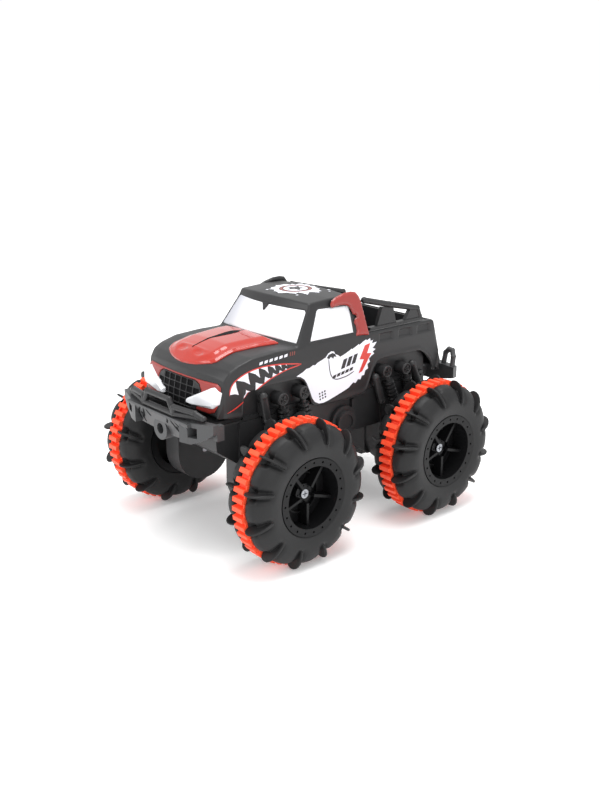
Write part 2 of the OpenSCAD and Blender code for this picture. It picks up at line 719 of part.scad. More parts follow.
centred() body_shell();
centred() hood_scoop();
centred() windscreen();
centred() side_windows();
centred() rear_window();
centred() grille_surround();
centred() grille_mesh();
centred() headlight(1);  // headlight_left
centred() headlight(-1);  // headlight_right
centred() hoop_trims();
centred() bed_rails();
centred() bed_tray();
centred() front_bumper();
centred() bull_bar();
centred() rear_bumper();
centred() shocks(1);  // shocks_left
centred() shocks(-1);  // shocks_right
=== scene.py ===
"""Studio scene of a radio-controlled stunt truck. Metres; +X forward, +Y the truck's left, +Z up."""
import math

import bpy
import numpy as np
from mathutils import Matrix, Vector, geometry
from mathutils.bvhtree import BVHTree


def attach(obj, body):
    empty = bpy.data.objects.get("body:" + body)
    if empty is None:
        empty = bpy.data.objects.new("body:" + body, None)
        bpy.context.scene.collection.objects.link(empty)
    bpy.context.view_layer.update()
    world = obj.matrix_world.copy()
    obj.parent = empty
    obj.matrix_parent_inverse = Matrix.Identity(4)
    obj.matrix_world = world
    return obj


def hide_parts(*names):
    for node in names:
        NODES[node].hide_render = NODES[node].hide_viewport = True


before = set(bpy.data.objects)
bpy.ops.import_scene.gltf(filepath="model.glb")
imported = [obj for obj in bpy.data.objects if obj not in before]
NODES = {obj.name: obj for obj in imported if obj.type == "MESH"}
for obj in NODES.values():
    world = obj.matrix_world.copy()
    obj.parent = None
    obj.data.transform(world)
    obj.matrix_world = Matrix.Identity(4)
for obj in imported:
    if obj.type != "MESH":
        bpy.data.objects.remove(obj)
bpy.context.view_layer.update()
MM = 0.001
# Pieces are drawn in millimetres from the middle between the axles; the frame's origin is the middle of the length.
SHIFT = -2.5
# The wheels' axes and their middle planes.
AXLE_X, AXLE_Z, WHEEL_Y = 62.0, 47.0, 71.0
# Each corner's signs of x and y.
CORNERS = {
    "front_left": (1, 1),
    "front_right": (1, -1),
    "rear_left": (-1, 1),
    "rear_right": (-1, -1),
}


# ---------------------------------------------------------------- materials
def material(name, base, rough, metal=0.0, coat=0.0, grain=900.0, bump=0.25, var=0.12, spec=0.5, patch=35.0):
    """A procedural surface: fine grain in colour and height, and broad patches in roughness."""
    m = bpy.data.materials.new(name)
    m.use_nodes = True
    nt = m.node_tree
    bsdf = nt.nodes["Principled BSDF"]
    coord = nt.nodes.new("ShaderNodeTexCoord")
    fine = nt.nodes.new("ShaderNodeTexNoise")
    fine.inputs["Scale"].default_value = grain
    fine.inputs["Detail"].default_value = 4.0
    broad = nt.nodes.new("ShaderNodeTexNoise")
    broad.inputs["Scale"].default_value = patch
    broad.inputs["Detail"].default_value = 6.0
    nt.links.new(coord.outputs["Object"], fine.inputs["Vector"])
    nt.links.new(coord.outputs["Object"], broad.inputs["Vector"])
    mix = nt.nodes.new("ShaderNodeMix")
    mix.data_type = "RGBA"
    low = [c * (1 - var) for c in base]
    high = [min(1.0, c * (1 + var)) for c in base]
    mix.inputs["A"].default_value = (*low, 1)
    mix.inputs["B"].default_value = (*high, 1)
    both = nt.nodes.new("ShaderNodeMath")
    both.operation = "MULTIPLY_ADD"
    both.inputs[1].default_value = 0.5
    nt.links.new(fine.outputs["Fac"], both.inputs[0])
    half = nt.nodes.new("ShaderNodeMath")
    half.operation = "MULTIPLY"
    half.inputs[1].default_value = 0.5
    nt.links.new(broad.outputs["Fac"], half.inputs[0])
    nt.links.new(half.outputs[0], both.inputs[2])
    nt.links.new(both.outputs[0], mix.inputs["Factor"])
    nt.links.new(mix.outputs["Result"], bsdf.inputs["Base Color"])
    rr = nt.nodes.new("ShaderNodeMapRange")
    rr.inputs["To Min"].default_value = max(0.02, rough * 0.85)
    rr.inputs["To Max"].default_value = min(1.0, rough * 1.15)
    nt.links.new(broad.outputs["Fac"], rr.inputs["Value"])
    nt.links.new(rr.outputs["Result"], bsdf.inputs["Roughness"])
    bn = nt.nodes.new("ShaderNodeBump")
    bn.inputs["Strength"].default_value = bump
    bn.inputs["Distance"].default_value = 0.0001
    nt.links.new(fine.outputs["Fac"], bn.inputs["Height"])
    nt.links.new(bn.outputs["Normal"], bsdf.inputs["Normal"])
    bsdf.inputs["Metallic"].default_value = metal
    bsdf.inputs["Coat Weight"].default_value = coat
    bsdf.inputs["Coat Roughness"].default_value = 0.06
    bsdf.inputs["Specular IOR Level"].default_value = spec
    return m


M = {
    "body": material("body_black", (0.015, 0.015, 0.016), 0.42, spec=0.42, bump=0.12),
    "hull": material("hull_plastic", (0.020, 0.020, 0.021), 0.42, spec=0.38, bump=0.15),
    "tyre": material("tyre_rubber", (0.0125, 0.0125, 0.013), 0.50, spec=0.25, bump=0.3, grain=1400),
    "rim": material("rim_plastic", (0.0065, 0.0065, 0.007), 0.42, spec=0.16, bump=0.12),
    "band": material("orange_rubber", (0.92, 0.084, 0.030), 0.48, spec=0.35, bump=0.15, var=0.06),
    "red": material("gloss_red", (0.37, 0.015, 0.005), 0.16, spec=0.38, coat=0.6, bump=0.02, var=0.05),
    "dull_red": material("dull_red", (0.27, 0.022, 0.017), 0.30, coat=0.25, bump=0.05, var=0.06),
    "white": material("gloss_white", (0.80, 0.81, 0.84), 0.14, coat=0.6, bump=0.02, var=0.02),
    "grey": material("bumper_grey", (0.046, 0.047, 0.049), 0.46, spec=0.45, bump=0.2),
    "steel": material("screw_steel", (0.30, 0.31, 0.33), 0.30, metal=1.0, bump=0.1, var=0.05),
    "nylon": material("nylon_gear", (0.72, 0.72, 0.66), 0.40, bump=0.1),
    "dark": material("dark_glass", (0.010, 0.010, 0.012), 0.12, coat=0.5, bump=0.02),
    # Near-black painted shade, laid where a slit, the grille's openings and the bumper's grooves are dark from their
    # depth.
    "shade_black": material("painted_shade_black", (0.004, 0.004, 0.0045), 0.60, bump=0.05, spec=0.08),
    "board": material("circuit_green", (0.02, 0.16, 0.06), 0.35),
    "wrap": material("battery_wrap", (0.03, 0.10, 0.42), 0.25, coat=0.4),
    "seal": material("seal_rubber", (0.02, 0.02, 0.02), 0.6),
}


def material_for(node):
    """The surface for each CAD node, by what it's made of."""
    for start, key in (
        ("rim_", "rim"), ("tyre_", "tyre"), ("band_", "band"), ("gear_", "nylon"), ("pinion_", "nylon"),
        ("axle_", "steel"), ("screw_", "steel"), ("door_screws", "steel"), ("motor_", "steel"),
        ("power_switch", "steel"), ("hull_seal", "seal"), ("battery_pack", "wrap"), ("circuit", "board"),
        ("hood_scoop", "red"), ("grille_surround", "red"), ("hoop", "dull_red"), ("windscreen", "white"),
        ("side_windows", "white"), ("headlight", "white"), ("front_bumper", "grey"), ("rear_bumper", "grey"),
        ("side_plugs", "hull"), ("rear_window", "dark"), ("hull_tub", "hull"), ("upper_hull", "hull"),
        ("leg_covers", "hull"), ("battery_door", "hull"), ("shocks", "hull"),
    ):
        if node.startswith(start):
            return M[key]
    return M["body"]


def smooth(obj, angle=35.0):
    """Shade smooth, with sharp edges where faces meet at more than the angle."""
    me = obj.data
    me.shade_smooth()
    me.set_sharp_from_angle(angle=math.radians(angle))


def paint(obj, mat):
    """Give an object one material and no other."""
    obj.data.materials.clear()
    obj.data.materials.append(mat)


def soften(obj, width, segments=2, angle=32.0):
    """Merge flat facets, then round the edges a little, as moulded parts are."""
    flat = obj.modifiers.new("flat", "DECIMATE")
    flat.decimate_type = "DISSOLVE"
    flat.angle_limit = math.radians(1.0)
    bev = obj.modifiers.new("bevel", "BEVEL")
    bev.width = width * MM
    bev.segments = segments
    bev.limit_method = "ANGLE"
    bev.angle_limit = math.radians(angle)
    bev.harden_normals = True


def thicken(obj, thickness):
    """Give an open surface a wall on its inner side."""
    wall = obj.modifiers.new("wall", "SOLIDIFY")
    wall.thickness = thickness * MM
    wall.offset = -1


def build(name, verts, faces, mat, body, angle=35.0):
    """A mesh object from points in millimetres."""
    me = bpy.data.meshes.new(name)
    points = [((float(x) + SHIFT) * MM, float(y) * MM, float(z) * MM) for x, y, z in verts]
    me.from_pydata(points, [], [tuple(int(i) for i in f) for f in faces])
    me.validate()
    me.update()
    obj = bpy.data.objects.new(name, me)
    bpy.context.scene.collection.objects.link(obj)
    paint(obj, mat)
    smooth(obj, angle)
    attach(obj, body)
    return obj


# Edge radii of the CAD pieces that show, in millimetres.
BEVELS = {
    "band_": 0.35, "rim_": 0.22, "front_bumper": 0.3, "rear_bumper": 0.5, "hull_tub": 0.5, "bed_tray": 0.3,
    "upper_hull": 0.5, "side_plugs": 0.4, "leg_covers": 0.3, "bed_rails": 0.2,
}
for node, obj in NODES.items():
    paint(obj, material_for(node))
    smooth(obj)
    for start, width in BEVELS.items():
        if node.startswith(start):
            soften(obj, width)


# ---------------------------------------------------------------- tyres
def wheel_point(fx, sy, x, y, z):
    """A point drawn with the wheel's axis along +Z, moved to its corner of the truck."""
    return (fx * AXLE_X + x, sy * (WHEEL_Y + z), AXLE_Z - y)


PADDLES = 12
PADDLE_ANGLE = math.radians(360 / PADDLES)
FIRST_PADDLE = math.radians(15)
TREAD_R = 45.0
# The channel that the tread band lies in, and the tyre's seat on the rim.
CHANNEL_R, CHANNEL_HALF = 41.45, 4.75
SEAT_R, SEAT_HALF = 24.1, 14.8
# Points round the tyre and along half of its section.
ROUND, SECTION = 480, 44
# Half of the section as (radius, distance from the middle plane).
TYRE_LINE = [
    (43.2, 4.75), (44.0, 5.0), (44.7, 5.7), (45.0, 6.8), (45.0, 8.2), (44.7, 9.8), (44.0, 11.4), (43.0, 12.9),
    (41.6, 14.3), (39.8, 15.6), (37.8, 16.6), (35.6, 17.2), (33.4, 17.4), (31.2, 17.3), (29.2, 17.0),
    (27.4, 16.6), (26.0, 16.3), (25.4, 16.0), (25.25, 15.5), (25.2, 14.8),
]


def resample(line, n):
    """Points at even steps along a polyline."""
    p = np.array(line, float)
    d = np.concatenate([[0], np.cumsum(np.linalg.norm(np.diff(p, axis=0), axis=1))])
    t = np.linspace(0, d[-1], n)
    return np.stack([np.interp(t, d, p[:, 0]), np.interp(t, d, p[:, 1])], 1)


def smoothstep(a, b, x):
    """0 at a and 1 at b, held beyond them, with a soft slope between."""
    t = np.clip((x - a) / (b - a), 0, 1)
    return t * t * (3 - 2 * t)


def sweep(r):
    """How far the paddles lean back round the wheel at a radius, in radians."""
    return math.radians(3.2) * (TREAD_R - r) / 12.0


def relief(line):
    """How strongly the lobes show at a point of the section: least at the rim and at the channel."""
    r, z = line
    if z > 8:
        return smoothstep(31.5, 37.5, r) * (1 - 0.6 * smoothstep(43.6, 43.2, r))
    return smoothstep(CHANNEL_HALF - 0.05, 6.2, z)


def tyre_half(side):
    """Half of the balloon tyre: swept bulges between twelve pairs of pockets, as (points, faces)."""
    line = resample(TYRE_LINE, SECTION)
    grad = np.gradient(line, axis=0)
    normal = np.stack([grad[:, 1], -grad[:, 0]], 1)
    normal /= np.linalg.norm(normal, axis=1)[:, None]
    th = np.arange(ROUND) * 2 * math.pi / ROUND
    pts = np.zeros((SECTION, ROUND, 3))
    for i, (r, z) in enumerate(line):
        phase = (th + side * sweep(r) - FIRST_PADDLE) * PADDLES / (2 * math.pi)
        turn = phase - np.round(phase)
        off = abs(turn * 360 / PADDLES)
        pocket = smoothstep(0.2, 1.3, off) * (1 - smoothstep(3.0, 5.4, off))
        valley = 1 - smoothstep(4.2, 8.6, off)
        bulge = np.cos(turn * 2 * math.pi - math.pi)
        push = relief((r, z)) * (0.45 * bulge - 2.4 * pocket - 1.6 * valley)
        radius = r + normal[i, 0] * push
        pts[i, :, 0] = radius * np.cos(th)
        pts[i, :, 1] = radius * np.sin(th)
        pts[i, :, 2] = side * (z + normal[i, 1] * push)
    faces = []
    for i in range(SECTION - 1):
        for j in range(ROUND):
            k = (j + 1) % ROUND
            a, b, c, d = i * ROUND + j, i * ROUND + k, (i + 1) * ROUND + k, (i + 1) * ROUND + j
            faces.append((a, b, c, d) if side > 0 else (a, d, c, b))
    return pts.reshape(-1, 3), faces


def ring_faces(n, start_a, start_b, flip):
    """The faces between two closed rings of n points each."""
    out = []
    for j in range(n):
        k = (j + 1) % n
        q = (start_a + j, start_a + k, start_b + k, start_b + j)
        out.append(q[::-1] if flip else q)
    return out


# The paddle's outline as (radius, distance from the middle plane), and the point that it shrinks towards.
FIN_MIDDLE = (42.5, 10.5)
FIN_LINE = [
    (40.6, 4.9), (45.6, 4.9), (47.2, 5.6), (48.1, 7.0), (48.35, 8.8), (48.0, 10.8), (47.0, 12.8), (45.4, 14.6),
    (43.2, 16.2), (40.6, 17.3), (37.6, 17.95), (34.6, 17.9), (33.6, 17.0), (37.0, 15.4), (40.0, 12.6), (41.0, 9.0),
]


def fins(side):
    """Twelve thin swept paddles for one half of a tyre, thicker at the root than at the lip."""
    verts, faces = [], []
    n = len(FIN_LINE)
    mid_r, mid_z = FIN_MIDDLE
    outer = side > 0
    for k in range(PADDLES):
        base = FIRST_PADDLE + PADDLE_ANGLE * k
        first = len(verts)
        for t in (-1, 1):
            for inset in (0, 1):
                for r, z in FIN_LINE:
                    cr = mid_r + (r - mid_r) * (1 - 0.05 * inset)
                    cz = mid_z + (z - mid_z) * (1 - 0.10 * inset)
                    half = (0.95 - 0.35 * smoothstep(42, 48, r)) * (1.0 if inset else 0.55)
                    a = base - side * sweep(cr)
                    x = cr * math.cos(a) - t * half * math.sin(a)
                    y = cr * math.sin(a) + t * half * math.cos(a)
                    verts.append((x, y, side * cz))
        edge_a, face_a, edge_b, face_b = (first + i * n for i in range(4))
        for start, end in ((edge_a, edge_b), (face_a, edge_a), (edge_b, face_b)):
            faces += ring_faces(n, start, end, outer)
        cap_a = tuple(range(face_a, face_a + n))
        cap_b = tuple(range(face_b, face_b + n))
        faces += [cap_a[::-1], cap_b] if outer else [cap_a, cap_b[::-1]]
    return verts, faces


def combine(parts):
    """Several (points, faces) as one."""
    verts, faces = [], []
    for v, f in parts:
        base = len(verts)
        verts += [tuple(p) for p in v]
        faces += [tuple(i + base for i in face) for face in f]
    return verts, faces


def circle(r, z):
    """Points round the wheel's axis, as many as the tyre has."""
    steps = (j * 2 * math.pi / ROUND for j in range(ROUND))
    return [(r * math.cos(t), r * math.sin(t), z) for t in steps]


def tyre_mesh():
    """Both halves of the tyre, joined by the channel for the tread band and by the seat on the rim."""
    verts, faces = combine([tyre_half(1), tyre_half(-1)])
    half = len(verts) // 2
    last_ring = half - ROUND
    channel = len(verts)
    verts += circle(CHANNEL_R, CHANNEL_HALF) + circle(CHANNEL_R, -CHANNEL_HALF)
    seat = len(verts)
    verts += circle(SEAT_R, SEAT_HALF) + circle(SEAT_R, -SEAT_HALF)
    for start, end in (
        (channel, 0), (half, channel + ROUND), (channel + ROUND, channel),
        (last_ring, seat), (seat, seat + ROUND), (seat + ROUND, half + last_ring),
    ):
        faces += ring_faces(ROUND, start, end, False)
    return verts, faces


TYRE = tyre_mesh()
FINS = combine([fins(1), fins(-1)])
for corner, (fx, sy) in CORNERS.items():
    body = "wheel_" + corner
    for label, (verts, faces), angle in (("tyre_carcass", TYRE, 50), ("tyre_paddles", FINS, 40)):
        moved = [wheel_point(fx, sy, *v) for v in verts]
        turned = [f[::-1] for f in faces] if sy > 0 else faces
        obj = build(f"{label}_{corner}", moved, turned, M["tyre"], body, angle)
        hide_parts("tyre_" + corner)


# ---------------------------------------------------------------- body skin
# One row per station: x on the centre line, plan bow, then (y, z) of the shoulder, the belt line, the top edge,
# the middle of the top and the centre line.
STATIONS = [
    (101.3, 2.4, (40.0, 94.2), (39.4, 94.9), (30.0, 95.2), (15.0, 95.2), (0, 95.2)),
    (100.6, 3.2, (40.4, 97.0), (39.8, 102.0), (30.5, 102.6), (15.0, 102.8), (0, 102.8)),
    (99.4, 3.8, (40.8, 101.0), (40.0, 107.8), (31.0, 108.6), (15.5, 108.8), (0, 108.8)),
    (98.6, 4.2, (41.0, 104.0), (40.0, 112.6), (31.0, 113.6), (15.5, 113.8), (0, 113.8)),
    (98.0, 4.2, (41.4, 108.0), (40.6, 116.4), (32.0, 118.2), (16.0, 119.2), (0, 119.8)),
    (93.0, 2.8, (42.2, 112.0), (41.4, 121.6), (34.0, 122.4), (17.0, 123.4), (0, 123.8)),
    (86.3, 2.0, (42.8, 115.5), (42.0, 124.4), (36.0, 125.2), (18.0, 126.0), (0, 126.4)),
    (75.0, 2.0, (43.0, 118.0), (42.0, 127.3), (38.0, 127.9), (19.0, 128.6), (0, 128.9)),
    (56.0, 2.5, (43.0, 119.0), (42.0, 128.3), (38.2, 128.9), (19.0, 129.5), (0, 129.8)),
    (42.4, 6.0, (43.0, 119.0), (42.2, 127.7), (40.7, 128.5), (19.0, 129.6), (0, 129.9)),
    (27.2, 6.0, (43.0, 119.0), (42.0, 128.0), (36.0, 149.6), (17.8, 150.3), (0, 150.6)),
    (25.6, 6.0, (43.0, 119.0), (42.0, 128.0), (35.4, 153.4), (17.8, 154.5), (0, 154.8)),
    (4.0, 1.0, (43.0, 119.0), (42.0, 128.0), (35.0, 154.4), (17.6, 155.6), (0, 156.0)),
    (-14.0, 0.0, (43.0, 119.0), (42.0, 128.0), (34.8, 154.2), (17.5, 155.3), (0, 155.6)),
    (-18.8, 0.0, (43.0, 119.0), (42.0, 128.0), (34.8, 152.4), (17.5, 153.4), (0, 153.7)),
    (-21.0, 0.0, (43.0, 119.0), (42.0, 127.9), (37.8, 128.3), (36.0, 109.0), (0, 109.0)),
    (-21.6, 0.0, (43.0, 119.0), (42.0, 127.8), (38.8, 128.0), (38.6, 126.0), (0, 109.0)),
    (-88.3, 0.0, (43.0, 119.0), (42.0, 127.6), (38.8, 127.8), (38.6, 126.0), (0, 109.0)),
    (-89.0, 0.0, (43.0, 119.0), (42.0, 127.6), (38.8, 127.8), (19.0, 127.8), (0, 127.8)),
    (-91.8, 0.0, (43.0, 118.0), (42.0, 127.2), (38.8, 127.4), (19.0, 127.4), (0, 127.4)),
    (-98.4, 0.0, (42.6, 100.0), (42.0, 104.2), (38.4, 104.5), (19.0, 104.5), (0, 104.5)),
    (-95.4, 0.0, (42.4, 91.4), (42.0, 92.2), (38.4, 92.4), (19.0, 92.4), (0, 92.4)),
]
# The stations between which the bed is open, and the distance from the middle at which the plan bow is measured.
BED_FROM, BED_TO = 15, 18
BOW_Y = 40
# The lower edge of the flank with its wheel arches, as (x, z).
LOWER_EDGE = [
    (-99.0, 90.6), (-94.4, 90.0), (-92.0, 90.2), (-91.2, 91.5), (-88.7, 98.0), (-83.6, 103.6), (-77.6, 107.4),
    (-69.3, 108.1), (-40.0, 108.1), (-34.5, 107.1), (-30.0, 101.0), (-26.3, 91.5), (-24.6, 87.8), (-22.0, 86.4),
    (-4.8, 85.6), (21.3, 86.5), (24.0, 87.6), (25.7, 90.2), (27.5, 95.4), (30.9, 104.2), (33.6, 107.0),
    (38.6, 108.3), (60.0, 108.5), (77.4, 107.6), (80.6, 106.6), (81.3, 104.0), (81.6, 91.7), (88.0, 92.4),
    (98.8, 93.6), (102.0, 93.8),
]
# Columns of the grid between a station's points, and its length from row to row.
COLS = (34, 16, 40, 34, 30)
STEP = 0.72
# How far the skin's edges are rounded, and how deep the panes and the bed's notches are let in.
EDGE_BLUR = 0.85
PANE_DEPTH, NOTCH_DEPTH = 0.55, 1.3


def blur(grid, sigma):
    """Round a grid's edges along its first axis by a Gaussian over true length, ends held."""
    out = grid.copy()
    rows = grid.shape[0]
    for c in range(grid.shape[1]):
        p = grid[:, c]
        seg = np.linalg.norm(np.diff(p, axis=0), axis=1)
        s = np.concatenate([[0], np.cumsum(seg)])
        w = np.zeros(rows)
        w[1:-1] = (s[2:] - s[:-2]) / 2
        w[0], w[-1] = seg[0] / 2, seg[-1] / 2
        width = np.minimum(sigma, np.minimum(s, s[-1] - s) / 2 + 1e-3)
        k = np.exp(-0.5 * ((s[:, None] - s[None, :]) / width[:, None]) ** 2) * (w[None, :] + 1e-6)
        k /= k.sum(1, keepdims=True)
        out[:, c] = k @ p
    return out


def numbers(station):
    """A station's measures in one row."""
    return np.array([station[0], station[1], *np.ravel(station[2:])])


def body_grid():
    """The left half of the outer skin as a grid of points, and the row number of each station."""
    edge_x, edge_z = np.array(LOWER_EDGE).T
    rows = []
    marks = []
    for a, b in zip(STATIONS[:-1], STATIONS[1:]):
        far = max(math.dist((a[0], *p), (b[0], *q)) for p, q in zip(a[2:], b[2:]))
        steps = max(1, math.ceil(far / STEP))
        marks.append(len(rows))
        rows += [(1 - t) * numbers(a) + t * numbers(b) for t in (i / steps for i in range(steps))]
    marks.append(len(rows))
    rows.append(numbers(STATIONS[-1]))
    grid = []
    for row in rows:
        x, bow = row[:2]
        pts = row[2:].reshape(5, 2)
        x_side = x - bow * (pts[0, 0] / BOW_Y) ** 2
        low = min(np.interp(x_side, edge_x, edge_z), pts[0, 1] - 0.4)
        ctrl = [np.array([pts[0, 0] - 0.2, low]), *pts]
        line = ctrl[:1]
        for a, b, count in zip(ctrl[:-1], ctrl[1:], COLS):
            line += [a + (b - a) * i / count for i in range(1, count + 1)]
        line = np.array(line)
        rise = line[:, 1] - low
        flare = 0.5 if -94 < x_side < 98 else 0.0
        line[:, 0] += flare * (1 - smoothstep(1.6, 3.4, rise)) * (rise < 6) * (line[:, 0] > 41)
        grid.append(np.stack([x - bow * (line[:, 0] / BOW_Y) ** 2, line[:, 0], line[:, 1]], 1))
    return np.array(grid), marks


def inside(px, pz, poly):
    """Even-odd test of many points against a closed outline."""
    px, pz = np.asarray(px, float), np.asarray(pz, float)
    hit = np.zeros(px.shape, bool)
    for (ax, az), (bx, bz) in zip(poly, poly[1:] + poly[:1]):
        cross = ((az > pz) != (bz > pz)) & (px < (bx - ax) * (pz - az) / ((bz - az) or 1e-9) + ax)
        hit ^= cross
    return hit


def edge_distance(px, pz, poly):
    """Signed distance to a closed outline, positive inside."""
    best = np.full(np.shape(px), 1e9)
    for (ax, az), (bx, bz) in zip(poly, poly[1:] + poly[:1]):
        dx, dz = bx - ax, bz - az
        t = np.clip(((px - ax) * dx + (pz - az) * dz) / (dx * dx + dz * dz), 0, 1)
        best = np.minimum(best, np.hypot(px - ax - t * dx, pz - az - t * dz))
    return np.where(inside(px, pz, poly), best, -best)


# Recesses of the panes, and the panes themselves: (x, z) on the flanks, (y, z) in front and behind.
SIDE_GLASS = [
    (25.6, 129.4), (24.6, 131.0), (15.6, 148.4), (13.8, 149.6), (-13.6, 148.4), (-14.2, 147.6), (-14.2, 129.4),
]
SIDE_PANE = [
    (24.4, 130.2), (15.2, 148.0), (13.6, 148.9), (-12.9, 147.8), (-13.4, 147.0), (-13.4, 130.2),
]
FRONT_GLASS = [
    (-39.4, 130.0), (-20.0, 131.1), (0.0, 131.4), (20.0, 131.1), (39.4, 130.0), (35.2, 148.0), (33.8, 149.4),
    (-33.8, 149.4), (-35.2, 148.0),
]
FRONT_PANE = [(y * 0.988, 140.2 + (z - 140.2) * 0.965) for y, z in FRONT_GLASS]
REAR_GLASS = [(-27, 132), (27, 132), (26, 147), (-26, 147)]
NOTCHES = [[(x, 120.2), (x + 13.8, 120.2), (x + 13.0, 125.6), (x + 0.8, 125.6)] for x in (-50.5, -69.2, -88.0)]


def body_skin():
    """The whole outer skin as (points, faces), left and right, with the panes and notches let in."""
    grid, marks = body_grid()
    grid = blur(grid, EDGE_BLUR)
    grid = blur(grid.transpose(1, 0, 2), EDGE_BLUR).transpose(1, 0, 2)
    nrm = np.cross(np.gradient(grid, axis=0), np.gradient(grid, axis=1))
    nrm /= np.linalg.norm(nrm, axis=2, keepdims=True) + 1e-12
    nrm *= np.sign((nrm * np.array([0, 1.0, 1.0])).sum(2).mean())
    x, y, z = grid[..., 0], grid[..., 1], grid[..., 2]
    flank = y > 30
    depth = PANE_DEPTH * smoothstep(-0.35, 0.35, edge_distance(x, z, SIDE_GLASS)) * flank
    front = (x > 15) & (nrm[..., 0] > 0.35)
    depth += PANE_DEPTH * smoothstep(-0.35, 0.35, edge_distance(y, z, FRONT_GLASS)) * front
    for notch in NOTCHES:
        depth += NOTCH_DEPTH * smoothstep(-0.3, 0.7, edge_distance(x, z, notch)) * (y > 41)
    grid = grid - nrm * depth[..., None]
    rows, cols = grid.shape[:2]
    left = grid.reshape(-1, 3)
    right = grid[:, :-1].reshape(-1, 3) * np.array([1, -1, 1])
    verts = np.concatenate([left, right])
    base = len(left)

    def at(i, j, mirror):
        if not mirror or j == cols - 1:
            return i * cols + j
        return base + i * (cols - 1) + j

    bed_rows = range(marks[BED_FROM], marks[BED_TO])
    open_from = sum(COLS[:4])
    faces = []
    for mirror in (False, True):
        for i in range(rows - 1):
            for j in range(cols - 1):
                if i in bed_rows and j >= open_from:
                    continue
                q = (at(i, j, mirror), at(i + 1, j, mirror), at(i + 1, j + 1, mirror), at(i, j + 1, mirror))
                faces.append(q[::-1] if mirror else q)
    return verts, faces


SKIN_V, SKIN_F = body_skin()
SKIN_TREE = BVHTree.FromPolygons([Vector(v) for v in SKIN_V], SKIN_F)
skin = build("body_skin", SKIN_V, SKIN_F, M["body"], "chassis", 60)
thicken(skin, 1.5)
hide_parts("body_shell")


def densify(loop, step):
    """A closed outline with a point at least every step."""
    out = []
    for (ax, ay), (bx, by) in zip(loop, loop[1:] + loop[:1]):
        n = max(1, int(math.hypot(bx - ax, by - ay) / step))
        out += [(ax + (bx - ax) * i / n, ay + (by - ay) * i / n) for i in range(n)]
    return out


def within(px, py, loops):
    """Which points lie inside an odd number of the outlines."""
    hit = np.zeros(np.shape(px), bool)
    for loop in loops:
        hit ^= inside(px, py, loop)
    return hit


def border_gap(px, py, loops):
    """The distance of each point from the nearest outline."""
    return np.min([abs(edge_distance(px, py, loop)) for loop in loops], axis=0)


def panel(loops, step):
    """The flat area between outlines as (points, triangles), with points inside at every step."""
    pts, edges = [], []
    for loop in loops:
        base = len(pts)
        pts += loop
        edges += [(base + i, base + (i + 1) % len(loop)) for i in range(len(loop))]
    lo, hi = np.min(pts, axis=0), np.max(pts, axis=0)
    gx, gy = np.meshgrid(np.arange(lo[0], hi[0], step), np.arange(lo[1], hi[1], step))
    gx, gy = gx.ravel(), gy.ravel()
    keep = within(gx, gy, loops) & (border_gap(gx, gy, loops) > step * 0.45)
    pts += list(zip(gx[keep], gy[keep]))
    vec = [Vector((float(a), float(b))) for a, b in pts]
    points, _, tri, *_ = geometry.delaunay_2d_cdt(vec, edges, [], 0, 1e-5)
    points = np.array([(p[0], p[1]) for p in points])
    mid = points[np.array(tri)].mean(1)
    return points, [t for t, ok in zip(tri, within(mid[:, 0], mid[:, 1], loops)) if ok]


def sticker(name, loops, axis, sign, mat, lift, start=200.0, step=1.0, thick=0.0, tree=None, puff=None, place=None):
    """A thin panel, for prints, panes and painted shade: outlines drawn across an axis, laid onto the surface below
    them.

    puff is (height, width) of a rounded rise from the border; place(a, b, up) gives the point itself where the panel
    doesn't lie on a surface.
    """
    tree = tree or SKIN_TREE
    loops = [densify(loop, step) for loop in loops]
    flat, tri = panel(loops, step)
    rise = np.full(len(flat), float(lift))
    if puff:
        gap = border_gap(flat[:, 0], flat[:, 1], loops)
        rise = lift + puff[0] * np.sqrt(1 - (1 - np.clip(gap / puff[1], 0, 1)) ** 2)
    ray = {"x": Vector((-sign, 0, 0)), "y": Vector((0, -sign, 0)), "z": Vector((0, 0, -sign))}[axis]
    out = []
    for (a, b), up in zip(flat, rise):
        if place:
            out.append(Vector(place(a, b, up)))
            continue
        above = {"x": (start * sign, a, b), "y": (a, start * sign, b), "z": (a, b, start * sign)}[axis]
        hit = tree.ray_cast(Vector(above), ray)[0]
        if hit is None:
            near = {"x": (0, a, b), "y": (a, 43 * sign, b), "z": (a, b, 128)}[axis]
            hit = tree.find_nearest(Vector(near))[0]
        out.append(hit - ray * float(up))
    flip = {"x": sign < 0, "y": sign > 0, "z": sign < 0}[axis]
    used = sorted({i for t in tri for i in t})
    remap = {old: new for new, old in enumerate(used)}
    faces = [[remap[i] for i in (t[::-1] if flip else t)] for t in tri]
    obj = build(name, [out[i] for i in used], faces, mat, "chassis", 70)
    if thick:
        thicken(obj, thick)
    return obj


def white_with_painted_shade(name, axis, a, b, shade_colour):
    """The glossy white with painted shade: darkened towards one end of an axis, standing in for the light that falls
    off across the curved screen.
    """
    m = M["white"].copy()
    m.name = name
    nt = m.node_tree
    bsdf = nt.nodes["Principled BSDF"]
    src = bsdf.inputs["Base Color"].links[0].from_socket
    coord = nt.nodes.new("ShaderNodeTexCoord")
    split = nt.nodes.new("ShaderNodeSeparateXYZ")
    nt.links.new(coord.outputs["Object"], split.inputs[0])
    ramp = nt.nodes.new("ShaderNodeMapRange")
    ramp.interpolation_type = "SMOOTHSTEP"
    ramp.inputs["From Min"].default_value = a * MM
    ramp.inputs["From Max"].default_value = b * MM
    nt.links.new(split.outputs[axis], ramp.inputs["Value"])
    mix = nt.nodes.new("ShaderNodeMix")
    mix.data_type = "RGBA"
    mix.inputs["A"].default_value = (*shade_colour, 1)
    nt.links.new(src, mix.inputs["B"])
    nt.links.new(ramp.outputs["Result"], mix.inputs["Factor"])
    nt.links.new(mix.outputs["Result"], bsdf.inputs["Base Color"])
    return m
